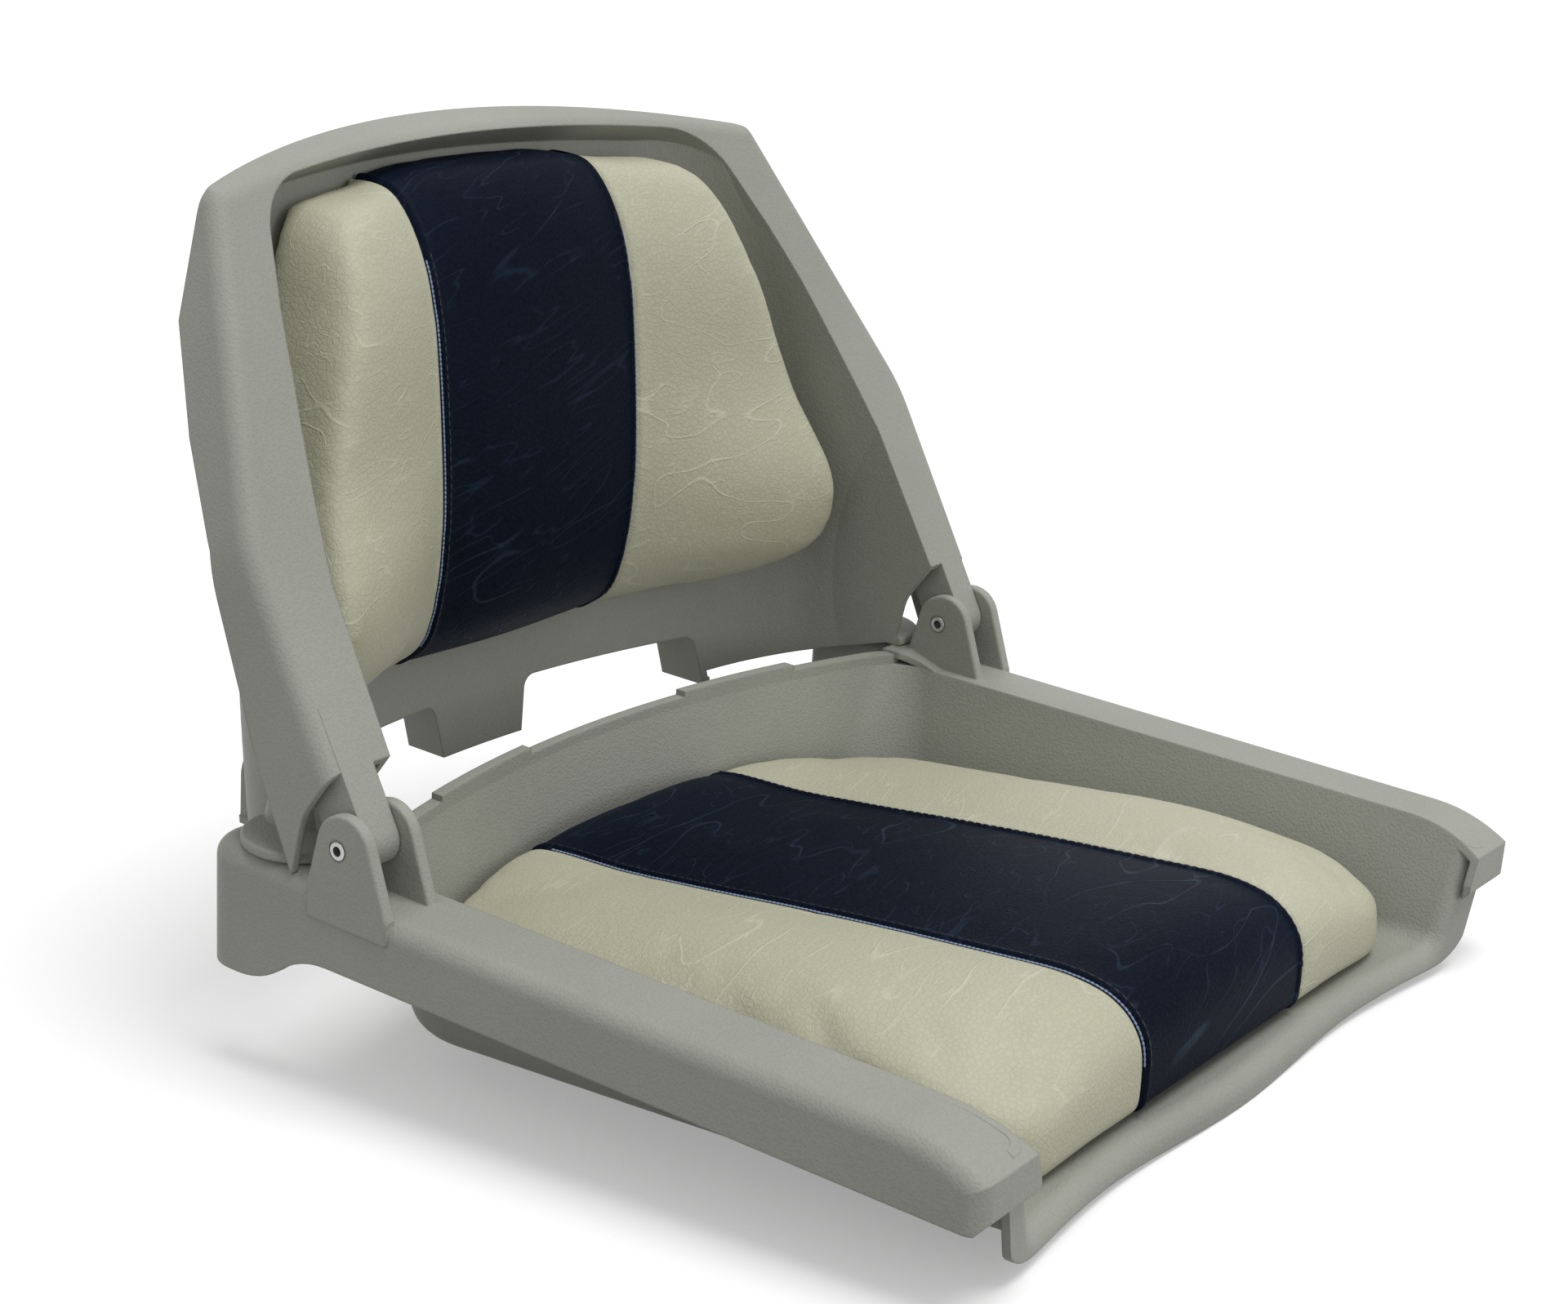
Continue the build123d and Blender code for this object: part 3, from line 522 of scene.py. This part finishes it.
def sewSeams(mesh):
    # adds columns of points beside both seams and presses the seams into the pad
    form = bmesh.new()
    form.from_mesh(mesh)
    reach = seamValues["columns"] * seamValues["columnStep"]
    for side in (-1, 1):
        for column in range(-seamValues["columns"], seamValues["columns"] + 1):
            cutAcross(form, side * (seamValues["place"] + column * seamValues["columnStep"]), 1)
    form.normal_update()
    moves = []
    for vertex in form.verts:
        offset = seamValues["place"] - abs(vertex.co.x)
        if abs(offset) <= reach + seamValues["margin"]:
            moves.append((vertex, vertex.normal * seamProfile(offset)))
    for vertex, move in moves:
        move.x = 0
        vertex.co += move
    form.to_mesh(mesh)
    form.free()


def stripe(mesh, name, low, high):
    # the part of a pad between two planes across the seat, closed at its cuts
    form = bmesh.new()
    form.from_mesh(mesh)
    for place, outward in ((low, -1), (high, 1)):
        if place is None:
            continue
        cut = cutAcross(form, place, outward, clear_outer=True)
        rim = [item for item in cut["geom_cut"] if isinstance(item, bmesh.types.BMEdge)]
        bmesh.ops.holes_fill(form, edges=rim, sides=0)
    bmesh.ops.recalc_face_normals(form, faces=form.faces)
    part = bpy.data.meshes.new(name)
    form.to_mesh(part)
    form.free()
    part.shade_smooth()
    part.set_sharp_from_angle(angle=math.radians(seamValues["sharpAngle"]))
    return link(name, part)


def makePad(values):
    core = padCore(values)
    blowUp(core, values)
    rounded = core.modifiers.new("rounded", "SUBSURF")
    rounded.levels = 1
    rounded.render_levels = 1
    finished(core)
    for vertex in core.data.vertices:
        vertex.co = reshaped(vertex.co, values["moves"])
    sewSeams(core.data)
    surface = BVHTree.FromPolygons([vertex.co for vertex in core.data.vertices],
                                   [face.vertices for face in core.data.polygons])
    edge = seamValues["place"]
    limits = {"left": (None, -edge), "centre": (-edge, edge), "right": (edge, None)}
    for side, (low, high) in limits.items():
        cover = stripe(core.data, values["name"] + "_pad_" + side, low, high)
        tint = "vinyl_navy" if side == "centre" else "vinyl_ivory"
        cover.data.materials.append(materials[tint])
        replaced = [values["name"] + "_cover_" + side]
        if side == "centre":
            replaced += [values["name"] + "_cushion_foam", values["name"] + "_cushion_board"]
        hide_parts(*replaced)
        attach(cover, values["body"])
    bpy.data.objects.remove(core)
    print(values["name"], "cushion made")
    return surface


surfaces = {values["name"]: makePad(values) for values in (seatPadValues, backPadValues)}


# Stitches

# pale thread lies in the seam, navy topstitching on the fold beside it
stitchValues = {
    "pale": {"offset": mm(0.8), "lift": mm(0.3), "length": mm(2.6), "pitch": mm(2.4), "thick": mm(1.1)},
    "navy": {"offset": mm(3.2), "lift": mm(0.2), "length": mm(3.6), "pitch": mm(4.6), "thick": mm(0.8)},
    "rays": 150, "segments": 8, "rings": 6}


def makeStitchTree():
    # short threads laid end to end along a curve
    tree = bpy.data.node_groups.new("stitch_row", "GeometryNodeTree")
    tree.interface.new_socket("Seam", in_out="INPUT", socket_type="NodeSocketGeometry")
    for name in ("Pitch", "Length", "Thickness"):
        tree.interface.new_socket(name, in_out="INPUT", socket_type="NodeSocketFloat")
    tree.interface.new_socket("Thread", in_out="INPUT", socket_type="NodeSocketMaterial")
    tree.interface.new_socket("Stitches", in_out="OUTPUT", socket_type="NodeSocketGeometry")
    given = tree.nodes.new("NodeGroupInput").outputs
    points = addNode(tree, "GeometryNodeCurveToPoints",
                     {"Curve": given["Seam"], "Length": given["Pitch"]}, mode="LENGTH")
    turn = addNode(tree, "FunctionNodeAlignRotationToVector", {"Vector": points.outputs["Tangent"]},
                   axis="Z")
    ball = addNode(tree, "GeometryNodeMeshUVSphere",
                   {"Segments": stitchValues["segments"], "Rings": stitchValues["rings"], "Radius": 0.5})
    size = addNode(tree, "ShaderNodeCombineXYZ", {"X": given["Thickness"], "Y": given["Thickness"],
                                                  "Z": given["Length"]})
    thread = addNode(tree, "GeometryNodeTransform",
                     {"Geometry": ball.outputs["Mesh"], "Scale": size.outputs[0]})
    row = addNode(tree, "GeometryNodeInstanceOnPoints",
                  {"Points": points.outputs["Points"], "Instance": thread.outputs["Geometry"],
                   "Rotation": turn.outputs["Rotation"]})
    real = addNode(tree, "GeometryNodeRealizeInstances", {"Geometry": row.outputs["Instances"]})
    smooth = addNode(tree, "GeometryNodeSetShadeSmooth", {"Geometry": real.outputs["Geometry"]})
    painted = addNode(tree, "GeometryNodeSetMaterial", {"Geometry": smooth.outputs["Geometry"],
                                                        "Material": given["Thread"]})
    result = tree.nodes.new("NodeGroupOutput")
    tree.links.new(painted.outputs["Geometry"], result.inputs["Stitches"])
    return tree


def seamPath(values, surface, across, lift):
    # points where rays from inside the pad leave it, in one plane across the seat
    start, end = values["span"]
    middle = Vector((across, *values["centre"]))
    count = stitchValues["rays"]
    path = []
    for number in range(count + 1):
        angle = math.radians(start + (end - start) * number / count)
        way = panPlace.to_3x3() @ Vector((0, -math.cos(angle), math.sin(angle)))
        place = surface.ray_cast(panPlace @ middle, way)[0]
        if place:
            path.append(place + way * lift)
    return path


def makeStitches(values, surface, thread, tree):
    own = stitchValues[thread]
    data = bpy.data.curves.new("seam", "CURVE")
    data.dimensions = "3D"
    for side in (-1, 1):
        across = side * (seamValues["place"] - own["offset"])
        path = seamPath(values, surface, across, own["lift"])
        line = data.splines.new("POLY")
        line.points.add(len(path) - 1)
        for point, place in zip(line.points, path):
            point.co = (*place, 1)
    seam = link("seam", data)
    modifier = seam.modifiers.new("stitches", "NODES")
    modifier.node_group = tree
    sockets = {item.name: item.identifier for item in tree.interface.items_tree if item.in_out == "INPUT"}
    modifier[sockets["Pitch"]] = own["pitch"]
    modifier[sockets["Length"]] = own["length"]
    modifier[sockets["Thickness"]] = own["thick"]
    modifier[sockets["Thread"]] = threads[thread]
    row = link(values["name"] + "_stitches_" + thread, evaluated(seam))
    bpy.data.objects.remove(seam)
    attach(row, values["body"])
    print(row.name, "sewn")


stitchTree = makeStitchTree()
for values in (seatPadValues, backPadValues):
    for thread in threads:
        makeStitches(values, surfaces[values["name"]], thread, stitchTree)


# Floor and light

stageValues = {"floorSize": 30, "floorSeen": (0.74, 0.74, 0.74), "floorGlow": 0.30,
               "floorLight": (0.30, 0.30, 0.30), "worldLight": 0.61, "lamps": {
                   "high": {"from": (0.02, -0.30, 0.95), "power": 1.6, "angle": 32},
                   "low": {"from": (-0.15, -0.95, 0.12), "power": 0.6, "angle": 30}}}


def seenDirectly(tree):
    # 1 for camera, mirror and glass rays, which are to find plain white
    path = tree.nodes.new("ShaderNodeLightPath").outputs
    first = addNode(tree, "ShaderNodeMath", {0: path["Is Camera Ray"], 1: path["Is Glossy Ray"]},
                    operation="MAXIMUM")
    either = addNode(tree, "ShaderNodeMath", {0: first.outputs[0], 1: path["Is Transmission Ray"]},
                     operation="MAXIMUM")
    return either.outputs[0]


def makeFloor(values):
    half = values["floorSize"] / 2
    mesh = bpy.data.meshes.new("floor")
    corners = [(-half, -half, 0), (half, -half, 0), (half, half, 0), (-half, half, 0)]
    mesh.from_pydata(corners, [], [(0, 1, 2, 3)])
    floor = link("floor", mesh)
    paper = Paint("floor_paper")
    paper.finish(Base_Color=values["floorSeen"], Roughness=0.9, Emission_Color=(1.0, 1.0, 1.0),
                 Emission_Strength=values["floorGlow"])
    dim = paper.add("ShaderNodeBsdfDiffuse", {"Color": (*values["floorLight"], 1)})
    choice = paper.add("ShaderNodeMixShader", {0: seenDirectly(paper.tree), 1: dim.outputs[0],
                                               2: paper.shader.outputs[0]})
    paper.put(paper.tree.nodes["Material Output"].inputs["Surface"], choice.outputs[0])
    mesh.materials.append(paper.material)


def makeLight(values):
    world = bpy.data.worlds.new("world")
    scene.world = world
    world.use_nodes = True
    tree = world.node_tree
    sky = tree.nodes["Background"]
    sky.inputs["Color"].default_value = (1, 1, 1, 1)
    sky.inputs["Strength"].default_value = values["worldLight"]
    white = addNode(tree, "ShaderNodeBackground", {"Color": (1, 1, 1, 1), "Strength": 1.0})
    choice = addNode(tree, "ShaderNodeMixShader",
                     {0: seenDirectly(tree), 1: sky.outputs[0], 2: white.outputs[0]})
    tree.links.new(choice.outputs[0], tree.nodes["World Output"].inputs["Surface"])
    for name, own in values["lamps"].items():
        light = bpy.data.lights.new(name, "SUN")
        light.energy = own["power"]
        light.angle = math.radians(own["angle"])
        lamp = link(name + "_light", light)
        lamp.rotation_mode = "QUATERNION"
        lamp.rotation_quaternion = (-Vector(own["from"])).to_track_quat("-Z", "Y")
    print("stage lit")


makeFloor(stageValues)
makeLight(stageValues)
scene.view_settings.view_transform = "Standard"
